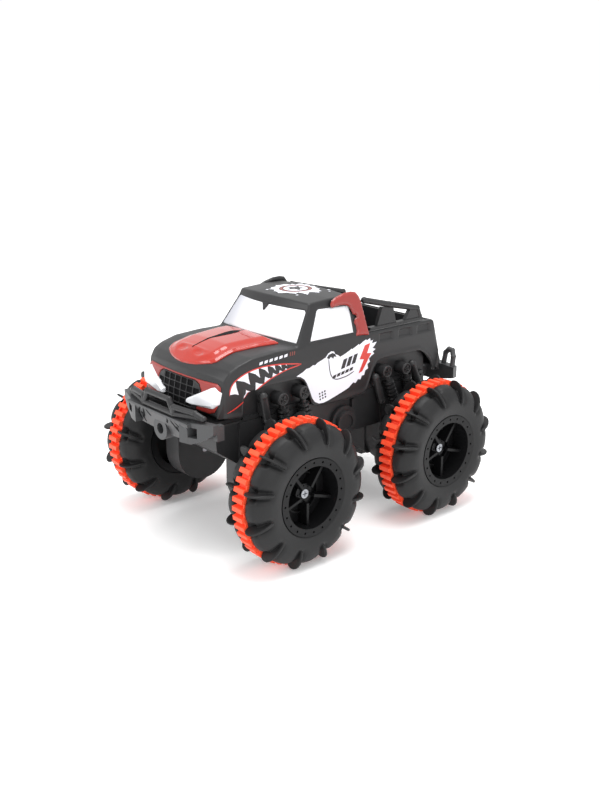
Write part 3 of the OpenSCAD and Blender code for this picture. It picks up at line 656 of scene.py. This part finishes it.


# The windscreen's white is darkened towards the truck's right side: painted shade.
M["screen"] = white_with_painted_shade("windscreen_white_painted_shade", "Y", -40, -6, (0.40, 0.41, 0.46))
screen = sticker("windscreen_pane", [FRONT_PANE], "x", 1, M["screen"], 0.12, thick=0.6)
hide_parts("windscreen")
for sgn, label in ((1, "left"), (-1, "right")):
    pane = sticker("side_pane_" + label, [SIDE_PANE], "y", sgn, M["white"], 0.12, thick=0.6)
    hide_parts("side_windows")
# The search for the rear pane starts in front of the tailgate.
rear_pane = sticker("rear_pane", [REAR_GLASS], "x", -1, M["dark"], 0.12, start=30.0, thick=0.5)
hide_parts("rear_window")


# ---------------------------------------------------------------- printed decoration
M["decal_white"] = material("decal_white", (0.78, 0.79, 0.86), 0.30, bump=0.03, var=0.03)
M["decal_red"] = material("decal_red", (0.55, 0.035, 0.025), 0.32, bump=0.03, var=0.05)
M["decal_brown"] = material("decal_brown", (0.20, 0.045, 0.035), 0.35, bump=0.03, var=0.05)
M["decal_black"] = material("decal_black", (0.012, 0.012, 0.014), 0.35, bump=0.03)

# How far the ground prints, and the prints on top of them, stand off the skin.
PRINT, OVERPRINT = 0.10, 0.17
# Flank prints as (x, z): the splash's torn outline, its cap, its bolt and its swoosh.
SPLASH = [
    (38.4, 109.9), (33.0, 111.6), (29.6, 113.4), (26.8, 113.5), (24.2, 114.9), (22.4, 114.4), (20.0, 115.8),
    (16.6, 116.8), (13.2, 118.0), (10.8, 120.2), (8.2, 121.2), (5.8, 120.8), (4.4, 118.6), (2.0, 117.6),
    (0.2, 116.2), (-4.0, 117.4), (-8.0, 118.9), (-10.2, 120.0), (-10.6, 119.4), (-14.0, 120.6), (-17.0, 121.9),
    (-17.6, 121.2), (-21.0, 122.8), (-24.0, 123.9), (-24.6, 123.0), (-27.8, 124.2), (-28.0, 122.2), (-30.4, 122.6),
    (-29.2, 120.4), (-33.8, 120.8), (-31.4, 118.4), (-29.6, 117.2), (-32.6, 116.0), (-30.0, 114.4), (-31.6, 113.0),
    (-28.8, 111.8), (-26.6, 110.4), (-27.6, 107.8), (-25.2, 106.6), (-26.0, 103.4), (-23.2, 102.4), (-22.4, 99.4),
    (-20.2, 99.4), (-19.0, 97.0), (-16.6, 97.6), (-14.4, 95.3), (-12.2, 96.2), (-8.0, 93.2), (-2.0, 91.4),
    (4.0, 89.8), (10.0, 88.4), (15.0, 87.6), (19.0, 87.9), (22.4, 89.6), (24.6, 92.6), (26.6, 97.6),
    (29.2, 103.4), (31.8, 106.9), (35.0, 109.0),
]
SPLASH_CAP = [
    (12.2, 117.4), (10.6, 119.4), (7.0, 120.0), (4.8, 118.9), (3.4, 116.6), (5.6, 117.4), (6.4, 116.0), (8.6, 117.6),
    (10.0, 116.4),
]
BOLT = [
    (-17.0, 101.6), (-21.6, 110.6), (-17.6, 111.2), (-22.4, 120.2), (-27.6, 121.0), (-24.6, 114.4), (-28.8, 113.8),
    (-20.4, 102.4),
]
SWOOSH = [(10.6, 117.0), (9.6, 109.0), (8.2, 104.0), (4.0, 101.0), (-6.0, 101.6), (-13.0, 104.0)]


def slant(x, z, w, h, lean=2.4):
    """A leaning bar with its front lower corner at (x, z)."""
    return [(x, z), (x - w, z + 0.15 * w), (x - w - lean, z + h + 0.15 * w), (x - lean, z + h)]


def dot(x, z, r, n=14):
    """A circle's outline."""
    return [(x + r * math.cos(a * 2 * math.pi / n), z + r * math.sin(a * 2 * math.pi / n)) for a in range(n)]


def strip(points, width):
    """A closed outline of a line with some width, tapering to its ends."""
    p = np.array(points, float)
    d = np.gradient(p, axis=0)
    nrm = np.stack([-d[:, 1], d[:, 0]], 1) / np.linalg.norm(d, axis=1)[:, None]
    taper = np.minimum(1, np.minimum(np.arange(len(p)), np.arange(len(p))[::-1]) / 3.0 + 0.25)[:, None]
    a, b = p + nrm * width / 2 * taper, p - nrm * width / 2 * taper
    return [tuple(q) for q in a] + [tuple(q) for q in b[::-1]]


def curve(points, n=40):
    """A smooth curve through a few points."""
    raw = resample(points, n)
    for _ in range(10):
        raw[1:-1] = (raw[:-2] + 2 * raw[1:-1] + raw[2:]) / 4
    return raw


# The jaw's lips from the nose backwards, and how far along them each tooth starts and ends.
JAW_TOP = curve([
    (90.8, 107.4), (91.4, 111.0), (89.6, 114.4), (84.0, 118.0), (75.0, 120.6), (64.0, 121.5), (50.0, 120.4),
    (34.0, 117.6),
])
JAW_LOW = curve([
    (92.5, 96.4), (86.0, 98.8), (79.5, 102.6), (70.0, 108.4), (59.0, 112.8), (47.0, 116.0), (34.0, 117.3),
])
TOP_CUTS = [0.0, 0.17, 0.33, 0.46, 0.57, 0.66, 0.74, 0.81, 0.87]
LOW_CUTS = [0.22, 0.36, 0.49, 0.60, 0.69, 0.77, 0.84]


def along(line, t):
    """The point at a fraction of a curve."""
    i = t * (len(line) - 1)
    return np.array([np.interp(i, np.arange(len(line)), line[:, k]) for k in (0, 1)])


def teeth():
    """Two rows of pointed teeth between the jaw lines, smaller towards the back."""
    out = []
    for a, b in zip(TOP_CUTS[:-1], TOP_CUTS[1:]):
        p, mid, q = (along(JAW_TOP, t) for t in (a + 0.01, (a + b) / 2, b))
        tip = along(JAW_TOP, b - 0.2 * (b - a)) * 0.42 + along(JAW_LOW, min(0.98, b + 0.02)) * 0.58
        out.append([p, mid, q, q * 0.5 + tip * 0.5 + (0.5, 0.2), tip, p * 0.5 + tip * 0.5 + (-0.6, 0.5)])
    for a, b in zip(LOW_CUTS[:-1], LOW_CUTS[1:]):
        p, mid, q = (along(JAW_LOW, t) for t in (a + 0.01, (a + b) / 2, b))
        tip = along(JAW_LOW, a + 0.15 * (b - a)) * 0.62 + along(JAW_TOP, (a + b) / 2) * 0.38
        out.append([p, mid, q, q * 0.55 + tip * 0.45 + (0.2, -0.4), tip])
    return [[tuple(p) for p in tooth] for tooth in out]


def side_prints(sgn, label):
    """The printed panels of one flank: a splash with plain bars and a bolt, and a toothed jaw."""

    def lay(name, loops, mat, lift):
        obj = sticker(f"{name}_{label}", loops, "y", sgn, M[mat], lift, step=1.1)

    bars = [slant(-0.5 - 4.8 * i, 107.4 + 0.8 * i, 3.6, 6.4) for i in range(3)]
    dashes = [slant(7.0 - 3.8 * i, 102.2 + 0.6 * i, 3.0, 2.2, 0.8) for i in range(5)]
    dots = [dot(17.6 - 2.3 * i + 0.3 * k, 90.3 + 2.0 * k + 0.45 * i, 0.68) for i in range(3) for k in range(3)]
    lay("splash", [SPLASH], "decal_white", PRINT)
    lay("splash_bars", bars, "decal_black", OVERPRINT)
    lay("splash_dashes", dashes, "decal_black", OVERPRINT)
    lay("splash_swoosh", [strip(curve(SWOOSH), 0.7)], "decal_black", OVERPRINT)
    lay("splash_cap", [SPLASH_CAP], "decal_black", OVERPRINT)
    lay("splash_bolt", [BOLT], "decal_red", OVERPRINT)
    lay("splash_dots", dots, "decal_black", OVERPRINT)
    lay("jaw_teeth", teeth(), "decal_white", PRINT)
    lay("jaw_lines", [strip(JAW_TOP, 0.8), strip(JAW_LOW, 0.8)], "decal_red", 0.14)
    fender_dashes = [slant(68.0 - 4.0 * i, 122.6 + 0.28 * i, 2.6, 1.7, 0.5) for i in range(6)]
    lay("fender_dashes", fender_dashes, "decal_white", PRINT)
    fender_stripes = [slant(43.4 - 1.7 * i, 124.2, 0.8, 2.4, 0.5) for i in range(3)]
    lay("fender_stripes", fender_stripes, "decal_brown", PRINT)


side_prints(1, "left")
side_prints(-1, "right")


ROOF_X = 2.0  # the middle of the roof's print


def ragged(r, n, seed, depth, stretch):
    """A torn circle about the middle of the roof's print."""
    rng = np.random.default_rng(seed)
    out = []
    for i in range(n):
        a = 2 * math.pi * i / n
        k = r * (1 + depth * (rng.random() - 0.5) * (2 if i % 2 else 0.8))
        out.append((ROOF_X + k * math.cos(a), k * math.sin(a) * stretch))
    return out


def star(r_out, r_in):
    """A five-pointed star about the middle of the roof's print."""
    turns = [(r_in if k % 2 else r_out, math.radians(36 * k)) for k in range(10)]
    return [(ROOF_X + r * math.cos(a), r * math.sin(a)) for r, a in turns]


SPECKS = [
    dot(-13.0, 17.0, 1.1), dot(-10.5, 20.5, 0.8), dot(14.0, 15.5, 0.9), dot(17.0, -12.0, 1.0), dot(-14.5, -15.0, 0.9),
]
TORN_RING = [ragged(15.2, 46, seed=5, depth=0.22, stretch=1.12), dot(ROOF_X, 0.0, 11.4, 40)]
for name, loops, mat in (
    ("roof_splash", TORN_RING + SPECKS, "decal_white"),
    ("roof_ring", [dot(ROOF_X, 0.0, 10.9, 40), dot(ROOF_X, 0.0, 9.0, 40)], "decal_brown"),
    ("roof_star", [dot(ROOF_X, 0.0, 8.3, 40), star(7.6, 3.6)], "decal_white"),
):
    print_on_roof = sticker(name, loops, "z", 1, M[mat], PRINT, step=0.9)
MIRROR_TAB = [(-3.4, 149.9), (3.4, 149.9), (1.4, 145.4), (0.4, 145.7)]
tab = sticker("mirror_tab", [MIRROR_TAB], "x", 1, M["body"], 0.9, thick=0.5)


# ---------------------------------------------------------------- bonnet scoop, grille and lamps
HOOD_BACK, HOOD_TOP = 43.5, 130.1  # the bonnet's rear edge and its highest point


def hood_height(x, y):
    """The height of the bonnet, held level behind its rear edge."""
    hit = SKIN_TREE.ray_cast(Vector((max(x, HOOD_BACK), y, 220)), Vector((0, 0, -1)))[0]
    return min(hit.z, HOOD_TOP) if hit else 120.0


# Half-widths of the scoop and of its slit along x, and the scoop's height over the bonnet.
SCOOP_X = [41.2, 50.0, 60.0, 72.0, 80.0, 85.0, 88.0, 90.5, 92.8, 94.6, 95.8, 96.4]
SCOOP_W = [28.8, 27.6, 26.4, 25.2, 25.4, 26.0, 25.6, 23.4, 18.8, 13.2, 7.2, 0.5]
SLIT_X = [46.5, 50.5, 52.5, 55.0, 60.0, 66.0, 72.0, 80.0, 88.0]
SLIT_W = [0.3, 0.4, 2.0, 2.9, 2.8, 1.9, 0.9, 0.4, 0.25]
DOME_X = [41, 46, 56, 70, 82, 90, 94, 96.4]
DOME_H = [2.6, 3.2, 3.3, 3.2, 3.0, 2.4, 1.2, 0.2]
SCOOP_BACK, SCOOP_TIP = SCOOP_X[0], SCOOP_X[-1]


def scoop_mesh(rows=190, cols=131):
    """The raised bonnet panel: a bevelled edge, a dome that is highest near the screen, a slit and two nostrils."""
    xs = SCOOP_BACK + (SCOOP_TIP - SCOOP_BACK) * np.sin(np.linspace(0, 1, rows) * math.pi / 2)
    verts = []
    for x in xs:
        half = np.interp(x, SCOOP_X, SCOOP_W)
        for j in range(cols):
            v = -1 + 2 * j / (cols - 1)
            y = half * v
            edge = (1 - abs(v)) * half
            rim = min(edge, max(0.0, SCOOP_TIP - x) * 1.6, (x - SCOOP_BACK) * 1.5 + 0.6)
            lip = 0.05 + smoothstep(0.0, 0.6, rim)
            step = 0.35 * smoothstep(1.0, 2.0, rim) + 0.65 * smoothstep(2.4, 9.0, rim)
            dome = np.interp(x, DOME_X, DOME_H) * step * (1 - 0.30 * v * v)
            slit = np.interp(x, SLIT_X, SLIT_W) if 46 < x < 88.5 else 0.0
            dip = 0.12 * smoothstep(slit + 0.4, slit - 0.5, abs(y)) if slit else 0.0
            nostril = 0.85 * math.exp(-((((x - 89.6) / 2.0) ** 2 + ((abs(y) - 8.6) / 4.4) ** 2) ** 2))
            ridge = 0.25 * math.exp(-((x - 86.6) ** 2)) * smoothstep(16.0, 12.0, abs(y))
            verts.append((x, y, hood_height(x, y) + lip + dome - dip - nostril + ridge))
    faces = []
    for i in range(rows - 1):
        for j in range(cols - 1):
            a = i * cols + j
            faces.append((a, a + cols, a + cols + 1, a + 1))
    return np.array(verts), faces


SCOOP_V, SCOOP_F = scoop_mesh()
scoop = build("scoop_panel", SCOOP_V, SCOOP_F, M["red"], "chassis", 60)
thicken(scoop, 1.2)
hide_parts("hood_scoop")
SCOOP_TREE = BVHTree.FromPolygons([Vector(v) for v in SCOOP_V], SCOOP_F)
# The slit's darkness is painted shade: a near-black panel laid over the scoop's shallow dip.
half_slit = [(x, w + 0.15) for x, w in zip(SLIT_X, SLIT_W)]
slit_loop = half_slit + [(x, -w) for x, w in half_slit[::-1]]
slit = sticker("scoop_slit_shade", [slit_loop], "z", 1, M["shade_black"], 0.16, step=0.5, tree=SCOOP_TREE)

# The grille's red frame and its mesh as (y, z).
FRAME_HALF = [(17.0, 113.5), (21.0, 111.8), (23.3, 108.0), (22.2, 103.0), (20.5, 96.0), (33.0, 95.6), (37.4, 97.2),
              (39.2, 101.0), (39.6, 108.0), (39.0, 112.6), (36.0, 114.5)]
FRAME = FRAME_HALF + [(-y, z) for y, z in FRAME_HALF[::-1]]
red_frame = sticker("grille_frame", [FRAME], "x", 1, M["dull_red"], 0.35, thick=0.9, puff=(0.5, 0.8))
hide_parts("grille_surround")
MESH = [(-20.2, 95.4), (20.2, 95.4), (21.9, 103.0), (23.0, 107.8), (20.8, 111.6), (16.8, 113.2), (-16.8, 113.2),
        (-20.8, 111.6), (-23.0, 107.8), (-21.9, 103.0)]
# A near-black sheet under the lattice, as painted shade in the grille's openings.
grille_shade_sheet = sticker("grille_back_shade", [MESH], "x", 1, M["shade_black"], 0.10)
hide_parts("grille_mesh")
CELL_Y, CELL_Z = 2.8, 1.85  # half-sizes of the lattice's openings
cells = []
for k in range(-3, 4):
    for r in range(4):
        cy, cz = k * 6.3, 98.0 + r * 4.3
        cell = [(cy + a * CELL_Y, cz + b * CELL_Z) for a, b in ((-1, -1), (1, -1), (1, 1), (-1, 1))]
        if np.all(edge_distance(*np.array(cell).T, MESH) > 0.3):
            cells.append(cell)
lattice = sticker("grille_lattice", [MESH] + cells, "x", 1, M["body"], 0.55, step=0.9, thick=0.45)
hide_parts("grille_mesh")


# A headlamp's outline and its face as (y, z), and the face's x at each corner.
LAMP_OUTLINE = [(13.4, 101.8), (13.3, 99.0), (18.3, 98.3), (36.6, 99.6), (40.0, 102.6), (40.0, 109.6), (34.8, 112.4)]
LAMP_FACE = [(14.0, 101.2), (13.9, 99.7), (18.6, 99.4), (36.0, 101.6), (38.6, 103.8), (38.4, 108.6), (34.3, 111.0)]
LAMP_FRONT = [103.9, 103.9, 103.6, 101.4, 100.5, 100.3, 100.9]


def lamp(sgn, label):
    """A faceted headlamp that stands proud of the nose, most at its blunt inner end."""
    verts = []
    for y, z in LAMP_OUTLINE:
        hit = SKIN_TREE.ray_cast(Vector((200, y * sgn * 0.98, z)), Vector((-1, 0, 0)))[0]
        verts.append(((hit.x if hit else 97.0) - 0.8, y * sgn, z))
    verts += [(x - 1.3, y * sgn, z) for x, (y, z) in zip(LAMP_FRONT, LAMP_OUTLINE)]
    verts += [(x, y * sgn, z) for x, (y, z) in zip(LAMP_FRONT, LAMP_FACE)]
    n = len(LAMP_OUTLINE)
    faces = []
    for ring in (0, n):
        faces += [(ring + i, ring + (i + 1) % n, ring + n + (i + 1) % n, ring + n + i) for i in range(n)]
    faces += [tuple(range(2 * n, 3 * n)), tuple(range(n - 1, -1, -1))]
    if sgn > 0:
        faces = [f[::-1] for f in faces]
    obj = build("lamp_" + label, verts, faces, M["white"], "chassis", 20)
    bev = obj.modifiers.new("edge", "BEVEL")
    bev.width = 0.35 * MM
    bev.segments = 3
    bev.harden_normals = True
    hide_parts("headlight_" + label)


lamp(1, "left")
lamp(-1, "right")


# ---------------------------------------------------------------- hoops behind the doors
HOOP = [
    (4.6, 151.2), (3.2, 153.4), (-0.6, 155.2), (-7.7, 156.9), (-14.0, 157.1), (-18.6, 156.2), (-21.2, 153.4),
    (-22.8, 149.2), (-27.6, 127.0), (-27.2, 126.2), (-15.2, 127.4), (-14.8, 128.6), (-16.4, 131.2), (-16.2, 134.0),
    (-14.8, 136.6), (-15.6, 138.4), (-17.9, 139.9), (-17.0, 141.2), (-14.6, 142.0), (-13.4, 144.6), (-12.0, 147.2),
    (-8.9, 148.9), (-4.0, 149.4), (0.8, 149.2), (3.0, 148.6), (4.4, 149.4),
]
# The hoop's middle plane: its y at the foot's height, and how much it leans in for each millimetre up.
HOOP_Y, HOOP_FOOT, HOOP_LEAN = 41.5, 127, 0.158


def hoop(sgn, label):
    """A puffed moulding: painted on its outer half and black on its inner half."""

    def plane(x, z, out):
        return (x, sgn * (HOOP_Y - HOOP_LEAN * (z - HOOP_FOOT) + out), z)

    outer = sticker("hoop_outer_" + label, [HOOP], "y", sgn, M["dull_red"], 0.0, step=0.8, puff=(1.5, 2.6), place=plane)
    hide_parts("hoop_trims")
    inner = sticker("hoop_inner_" + label, [HOOP], "y", -sgn, M["body"], 0.0, step=0.9, puff=(1.9, 1.6),
                    place=lambda x, z, out: plane(x, z, -out))
    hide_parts("hoop_trims")


hoop(1, "left")
hoop(-1, "right")


# ---------------------------------------------------------------- grooves of the front bumper, in painted shade
# The plate's lower and upper edges as (x, z), and the foremost x that a groove's painted shade may reach.
PLATE_LOW, PLATE_TOP, PLATE_END = (110.4, 77.0), (117.0, 91.4), 116.95


def plate(y, z, up):
    """A point on the leaning face of the bumper plate."""
    lean = (PLATE_TOP[0] - PLATE_LOW[0]) / (PLATE_TOP[1] - PLATE_LOW[1])
    return (min(PLATE_LOW[0] + (z - PLATE_LOW[1]) * lean + up, PLATE_END), y, z)


# The left half's grooves as lines of (y, z) with their widths.
GROOVES = [
    ([(15.2, 90.5), (17.2, 87.8), (17.6, 86.0), (20.6, 83.6), (20.2, 80.4)], 1.7),
    ([(19.8, 90.4), (23.4, 87.4), (24.6, 83.6), (23.6, 80.8)], 1.2),
    ([(12.0, 90.4), (9.4, 87.2)], 1.3),
]
grooves = []
for side in (1, -1):
    grooves += [strip(curve([(side * y, z) for y, z in line], 24), width) for line, width in GROOVES]
    grooves.append(dot(side * 20.0, 86.6, 1.0))
# The grooves are near-black strips on the plate: painted shade standing in for their depth.
groove_shade = sticker("bumper_groove_shade", grooves, "x", 1, M["shade_black"], 0.12, step=0.8, place=plate)


# ---------------------------------------------------------------- strut eyes
EYES = [(52.8, 98.4), (35.2, 99.4), (-40.5, 99.2), (-59.5, 97.9)]  # (x, z)
EYE_Y = 47.3
EYE_R, EYE_WIRE = 3.65, 0.65
CROSS_HALF = 3.3
BOX_FACES = [(4, 5, 6, 7), (0, 4, 7, 3), (1, 2, 6, 5), (0, 1, 5, 4), (3, 7, 6, 2), (0, 3, 2, 1)]


def eye_mesh(x, y, z, sgn, n=40, m=12):
    """A raised ring with a cross inside it, as the moulded strut eyes have."""
    verts, faces = [], []
    for i in range(n):
        t = 2 * math.pi * i / n
        for k in range(m):
            u = 2 * math.pi * k / m
            r = EYE_R + EYE_WIRE * math.cos(u)
            verts.append((x + r * math.cos(t), sgn * (y + EYE_WIRE * math.sin(u)), z + r * math.sin(t)))
    for i in range(n):
        for k in range(m):
            q = (i * m + k, i * m + (k + 1) % m, (i + 1) % n * m + (k + 1) % m, (i + 1) % n * m + k)
            faces.append(q if sgn > 0 else q[::-1])
    for turn in (0.5, 0.5 + math.pi / 2):
        c, s = math.cos(turn), math.sin(turn)
        first = len(verts)
        for depth, half in ((-0.4, 0.55), (0.35, 0.4)):
            for a, b in ((-CROSS_HALF, -half), (CROSS_HALF, -half), (CROSS_HALF, half), (-CROSS_HALF, half)):
                verts.append((x + a * c - b * s, sgn * (y + depth), z + a * s + b * c))
        faces += [tuple(first + i for i in (f[::-1] if sgn > 0 else f)) for f in BOX_FACES]
    return verts, faces


for sgn, label in ((1, "left"), (-1, "right")):
    verts, faces = combine([eye_mesh(x, EYE_Y, z, sgn) for x, z in EYES])
    obj = build("strut_eyes_" + label, verts, faces, M["hull"], "chassis", 40)


# ---------------------------------------------------------------- floor, light and camera
pale = material("floor_pale", (0.93, 0.93, 0.93), 0.6, bump=0.0, var=0.005, grain=40.0, patch=3.0)
shine = pale.node_tree.nodes["Principled BSDF"]
shine.inputs["Emission Color"].default_value = (1, 1, 1, 1)
shine.inputs["Emission Strength"].default_value = 0.16
bpy.ops.mesh.primitive_plane_add(size=40, location=(0, 0, -0.0002))
floor = bpy.context.active_object
floor.name = "floor"
paint(floor, pale)


def area(name, place, target, size, power):
    """A white rectangular light that faces a target."""
    data = bpy.data.lights.new(name, "AREA")
    data.shape = "RECTANGLE"
    data.size, data.size_y = size
    data.energy = power
    light = bpy.data.objects.new(name, data)
    light.location = place
    light.rotation_euler = (Vector(target) - Vector(place)).to_track_quat("-Z", "Y").to_euler()
    bpy.context.scene.collection.objects.link(light)


area("key", (-0.05, 0.10, 1.3), (0, 0, 0.05), (0.9, 0.7), 13)
area("front", (1.2, -0.35, 0.8), (0, 0, 0.08), (0.6, 0.6), 5)
area("side", (0.25, 1.5, 0.7), (0, 0, 0.08), (0.9, 0.5), 5)

world = bpy.context.scene.world or bpy.data.worlds.new("world")
bpy.context.scene.world = world
world.use_nodes = True
back = world.node_tree.nodes.get("Background") or world.node_tree.nodes.new("ShaderNodeBackground")
back.inputs["Color"].default_value = (1, 1, 1, 1)
back.inputs["Strength"].default_value = 1.02

# The camera's place and the point that it looks at, in metres from the middle between the axles.
CAMERA = Vector((0.4365, 0.5075, 0.28935))
AIM = Vector((-0.00197, 0, 0.07544))
cam_data = bpy.data.cameras.new("camera")
cam_data.sensor_width = 36.0
cam_data.lens = 44.95
cam = bpy.data.objects.new("camera", cam_data)
bpy.context.scene.collection.objects.link(cam)
cam.location = CAMERA + Vector((SHIFT * MM, 0, 0))
cam.rotation_euler = (AIM - CAMERA).to_track_quat("-Z", "Y").to_euler()
bpy.context.scene.camera = cam
bpy.context.scene.view_settings.view_transform = "Standard"
